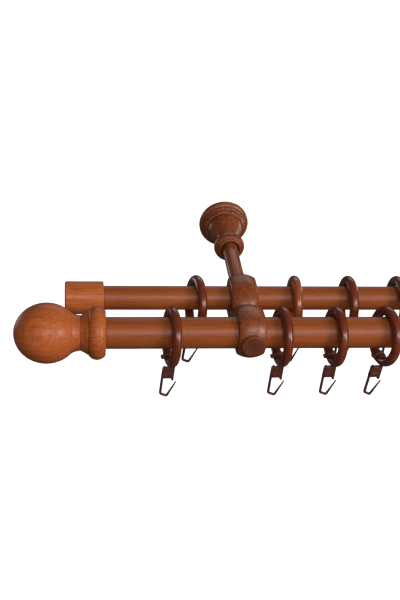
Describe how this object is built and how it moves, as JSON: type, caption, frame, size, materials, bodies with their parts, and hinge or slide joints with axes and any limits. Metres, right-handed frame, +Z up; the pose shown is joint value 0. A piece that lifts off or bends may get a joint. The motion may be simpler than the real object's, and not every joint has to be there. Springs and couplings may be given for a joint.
{
  "type": "double wooden curtain rod set",
  "caption": "Double wooden curtain rod set with turned finials, wall brackets, sliding rings and clip-on hooks.",
  "frame": {"origin": "the left wall screw's axis, in the plane of the wall", "axes": "+X along the rods to the right, +Y out of the rosettes' backs into the wall, +Z up"},
  "size_m": [1.3582, 0.2652, 0.1001],
  "materials": {
    "rod_wood": "stained and satin varnished",
    "finial_wood": "stained and satin varnished",
    "bracket_wood": "stained and satin varnished",
    "ring_wood": "stained and gloss varnished",
    "hook_plastic": "moulded, semi-gloss",
    "zinc": "zinc plated"
  },
  "bodies": {
    "rod_set": {"front_rod": "rod_wood", "back_rod": "rod_wood", "left_finial": "finial_wood", "right_finial": "finial_wood", "left_end_cap": "rod_wood", "right_end_cap": "rod_wood", "end_screws": "zinc", "left_rosette": "bracket_wood", "right_rosette": "bracket_wood", "left_arm": "bracket_wood", "right_arm": "bracket_wood", "left_rod_holder": "bracket_wood", "right_rod_holder": "bracket_wood", "rod_screws": "zinc", "wall_screws": "zinc", "rosette_inserts": "zinc"},
    "front_ring_1": {"front_ring_1": "ring_wood"},
    "front_hook_1": {"front_hook_1": "hook_plastic"},
    "front_ring_2": {"front_ring_2": "ring_wood"},
    "front_hook_2": {"front_hook_2": "hook_plastic"},
    "front_ring_3": {"front_ring_3": "ring_wood"},
    "front_hook_3": {"front_hook_3": "hook_plastic"},
    "front_ring_4": {"front_ring_4": "ring_wood"},
    "front_hook_4": {"front_hook_4": "hook_plastic"},
    "front_ring_5": {"front_ring_5": "ring_wood"},
    "front_hook_5": {"front_hook_5": "hook_plastic"},
    "front_ring_6": {"front_ring_6": "ring_wood"},
    "front_hook_6": {"front_hook_6": "hook_plastic"},
    "front_ring_7": {"front_ring_7": "ring_wood"},
    "front_hook_7": {"front_hook_7": "hook_plastic"},
    "front_ring_8": {"front_ring_8": "ring_wood"},
    "front_hook_8": {"front_hook_8": "hook_plastic"},
    "back_ring_1": {"back_ring_1": "ring_wood"},
    "back_hook_1": {"back_hook_1": "hook_plastic"},
    "back_ring_2": {"back_ring_2": "ring_wood"},
    "back_hook_2": {"back_hook_2": "hook_plastic"},
    "back_ring_3": {"back_ring_3": "ring_wood"},
    "back_hook_3": {"back_hook_3": "hook_plastic"},
    "back_ring_4": {"back_ring_4": "ring_wood"},
    "back_hook_4": {"back_hook_4": "hook_plastic"},
    "back_ring_5": {"back_ring_5": "ring_wood"},
    "back_hook_5": {"back_hook_5": "hook_plastic"},
    "back_ring_6": {"back_ring_6": "ring_wood"},
    "back_hook_6": {"back_hook_6": "hook_plastic"},
    "back_ring_7": {"back_ring_7": "ring_wood"},
    "back_hook_7": {"back_hook_7": "hook_plastic"},
    "back_ring_8": {"back_ring_8": "ring_wood"},
    "back_hook_8": {"back_hook_8": "hook_plastic"}
  },
  "joints": [
    {"name": "front_ring_1_slide", "type": "slide", "parent": "rod_set", "child": "front_ring_1", "axis": [1, 0, 0], "range_m": [-0.048, 0.046]},
    {"name": "front_hook_1_swing", "type": "hinge", "parent": "front_ring_1", "child": "front_hook_1", "pos_m": [-0.0704, -0.19814, -0.02731], "axis": [-0.0976, 0.9952, 0], "range_deg": [-35, 35]},
    {"name": "front_ring_2_slide", "type": "slide", "parent": "rod_set", "child": "front_ring_2", "axis": [1, 0, 0], "range_m": [-0.0065, 0.022]},
    {"name": "front_hook_2_swing", "type": "hinge", "parent": "front_ring_2", "child": "front_hook_2", "pos_m": [0.028, -0.19807, -0.02736], "axis": [-0.068, 0.9977, 0], "range_deg": [-35, 35]},
    {"name": "front_ring_3_slide", "type": "slide", "parent": "rod_set", "child": "front_ring_3", "axis": [1, 0, 0], "range_m": [-0.022, 0.015]},
    {"name": "front_hook_3_swing", "type": "hinge", "parent": "front_ring_3", "child": "front_hook_3", "pos_m": [0.07646, -0.19808, -0.02735], "axis": [-0.0732, 0.9973, 0], "range_deg": [-35, 35]},
    {"name": "front_ring_4_slide", "type": "slide", "parent": "rod_set", "child": "front_ring_4", "axis": [1, 0, 0], "range_m": [-0.015, 0.33]},
    {"name": "front_hook_4_swing", "type": "hinge", "parent": "front_ring_4", "child": "front_hook_4", "pos_m": [0.12044, -0.19846, -0.0271], "axis": [-0.1771, 0.9842, 0], "range_deg": [-35, 35]},
    {"name": "front_ring_5_slide", "type": "slide", "parent": "rod_set", "child": "front_ring_5", "axis": [1, 0, 0], "range_m": [-0.33, 0.015]},
    {"name": "front_hook_5_swing", "type": "hinge", "parent": "front_ring_5", "child": "front_hook_5", "pos_m": [0.82556, -0.19846, -0.0271], "axis": [-0.1771, -0.9842, 0], "range_deg": [-35, 35]},
    {"name": "front_ring_6_slide", "type": "slide", "parent": "rod_set", "child": "front_ring_6", "axis": [1, 0, 0], "range_m": [-0.015, 0.022]},
    {"name": "front_hook_6_swing", "type": "hinge", "parent": "front_ring_6", "child": "front_hook_6", "pos_m": [0.86954, -0.19808, -0.02735], "axis": [-0.0732, -0.9973, 0], "range_deg": [-35, 35]},
    {"name": "front_ring_7_slide", "type": "slide", "parent": "rod_set", "child": "front_ring_7", "axis": [1, 0, 0], "range_m": [-0.022, 0.0065]},
    {"name": "front_hook_7_swing", "type": "hinge", "parent": "front_ring_7", "child": "front_hook_7", "pos_m": [0.918, -0.19807, -0.02736], "axis": [-0.068, -0.9977, 0], "range_deg": [-35, 35]},
    {"name": "front_ring_8_slide", "type": "slide", "parent": "rod_set", "child": "front_ring_8", "axis": [1, 0, 0], "range_m": [-0.046, 0.048]},
    {"name": "front_hook_8_swing", "type": "hinge", "parent": "front_ring_8", "child": "front_hook_8", "pos_m": [1.0164, -0.19814, -0.02731], "axis": [-0.0976, -0.9952, 0], "range_deg": [-35, 35]},
    {"name": "back_ring_1_slide", "type": "slide", "parent": "rod_set", "child": "back_ring_1", "axis": [1, 0, 0], "range_m": [-0.074, 0.019]},
    {"name": "back_hook_1_swing", "type": "hinge", "parent": "back_ring_1", "child": "back_hook_1", "pos_m": [-0.04399, -0.14227, -0.03022], "axis": [-0.1357, 0.9907, 0], "range_deg": [-35, 35]},
    {"name": "back_ring_2_slide", "type": "slide", "parent": "rod_set", "child": "back_ring_2", "axis": [1, 0, 0], "range_m": [-0.026, 0.023]},
    {"name": "back_hook_2_swing", "type": "hinge", "parent": "back_ring_2", "child": "back_hook_2", "pos_m": [0.0504, -0.14201, -0.03039], "axis": [0.0244, 0.9997, 0], "range_deg": [-35, 35]},
    {"name": "back_ring_3_slide", "type": "slide", "parent": "rod_set", "child": "back_ring_3", "axis": [1, 0, 0], "range_m": [-0.023, 0.02]},
    {"name": "back_hook_3_swing", "type": "hinge", "parent": "back_ring_3", "child": "back_hook_3", "pos_m": [0.10068, -0.14201, -0.0304], "axis": [-0.0227, 0.9997, 0], "range_deg": [-35, 35]},
    {"name": "back_ring_4_slide", "type": "slide", "parent": "rod_set", "child": "back_ring_4", "axis": [1, 0, 0], "range_m": [-0.02, 0.305]},
    {"name": "back_hook_4_swing", "type": "hinge", "parent": "back_ring_4", "child": "back_hook_4", "pos_m": [0.14768, -0.14201, -0.0304], "axis": [-0.0262, 0.9997, 0], "range_deg": [-35, 35]},
    {"name": "back_ring_5_slide", "type": "slide", "parent": "rod_set", "child": "back_ring_5", "axis": [1, 0, 0], "range_m": [-0.305, 0.02]},
    {"name": "back_hook_5_swing", "type": "hinge", "parent": "back_ring_5", "child": "back_hook_5", "pos_m": [0.79832, -0.14201, -0.0304], "axis": [-0.0262, -0.9997, 0], "range_deg": [-35, 35]},
    {"name": "back_ring_6_slide", "type": "slide", "parent": "rod_set", "child": "back_ring_6", "axis": [1, 0, 0], "range_m": [-0.02, 0.023]},
    {"name": "back_hook_6_swing", "type": "hinge", "parent": "back_ring_6", "child": "back_hook_6", "pos_m": [0.84532, -0.14201, -0.0304], "axis": [-0.0227, -0.9997, 0], "range_deg": [-35, 35]},
    {"name": "back_ring_7_slide", "type": "slide", "parent": "rod_set", "child": "back_ring_7", "axis": [1, 0, 0], "range_m": [-0.023, 0.026]},
    {"name": "back_hook_7_swing", "type": "hinge", "parent": "back_ring_7", "child": "back_hook_7", "pos_m": [0.8956, -0.14201, -0.03039], "axis": [0.0244, -0.9997, 0], "range_deg": [-35, 35]},
    {"name": "back_ring_8_slide", "type": "slide", "parent": "rod_set", "child": "back_ring_8", "axis": [1, 0, 0], "range_m": [-0.019, 0.074]},
    {"name": "back_hook_8_swing", "type": "hinge", "parent": "back_ring_8", "child": "back_hook_8", "pos_m": [0.98999, -0.14227, -0.03022], "axis": [-0.1357, -0.9907, 0], "range_deg": [-35, 35]}
  ]
}
